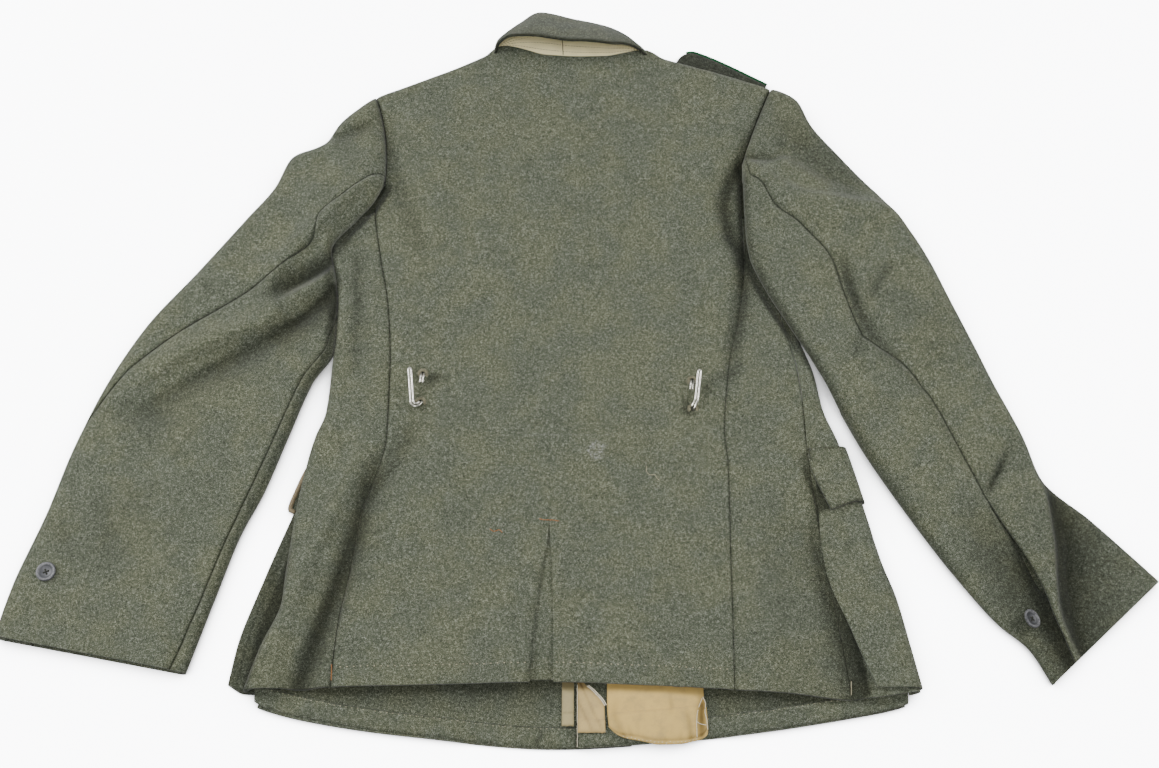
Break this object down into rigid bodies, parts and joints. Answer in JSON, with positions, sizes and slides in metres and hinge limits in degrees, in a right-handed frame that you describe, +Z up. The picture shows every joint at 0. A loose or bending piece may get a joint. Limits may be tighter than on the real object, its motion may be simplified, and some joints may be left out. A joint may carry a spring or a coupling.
{
  "type": "field tunic",
  "caption": "Men's heavy wool field tunic laid face down with its back up: stand-and-fall collar, flapped lower pockets, wire belt hooks, back vent and an opened cuff.",
  "frame": {"origin": "middle of the laid garment's outline, on the surface that it lies on", "axes": "+X across the garment to the right with its back up, +Y from the hem to the collar, +Z up from the surface"},
  "size_m": [1.0447, 0.7743, 0.052],
  "materials": {
    "wool": "napped grey-green wool",
    "dark_wool": "smooth dark green wool",
    "cotton_drill": "worn tan cotton twill",
    "green_piping": "green piping",
    "grey_button": "worn grey paint",
    "nickel_wire": "nickel plate",
    "brass": "tarnished"
  },
  "bodies": {
    "root": {"back": "wool", "back_vent_underlap": "wool", "side_left": "wool", "side_right": "wool", "front_left": "wool", "front_right": "wool", "sleeve_top_left": "wool", "sleeve_under_left": "wool", "sleeve_top_right": "wool", "sleeve_under_right": "wool", "collar_stand": "cotton_drill", "collar_fall": "wool", "pocket_right": "wool", "pocket_flap_right": "wool", "pocket_left": "wool", "pocket_flap_left": "wool", "shoulder_strap": "dark_wool", "strap_piping": "green_piping", "facing_left": "cotton_drill", "facing_right": "cotton_drill", "inner_pouch": "cotton_drill", "cuff_button_left": "grey_button", "cuff_button_right": "grey_button", "belt_hook_left": "nickel_wire", "belt_hook_right": "nickel_wire", "belt_hook_tail_left": "nickel_wire", "belt_hook_tail_right": "nickel_wire", "eyelet_lower_left": "brass", "eyelet_upper_left": "brass", "eyelet_lower_right": "brass", "eyelet_upper_right": "brass"}
  },
  "joints": []
}
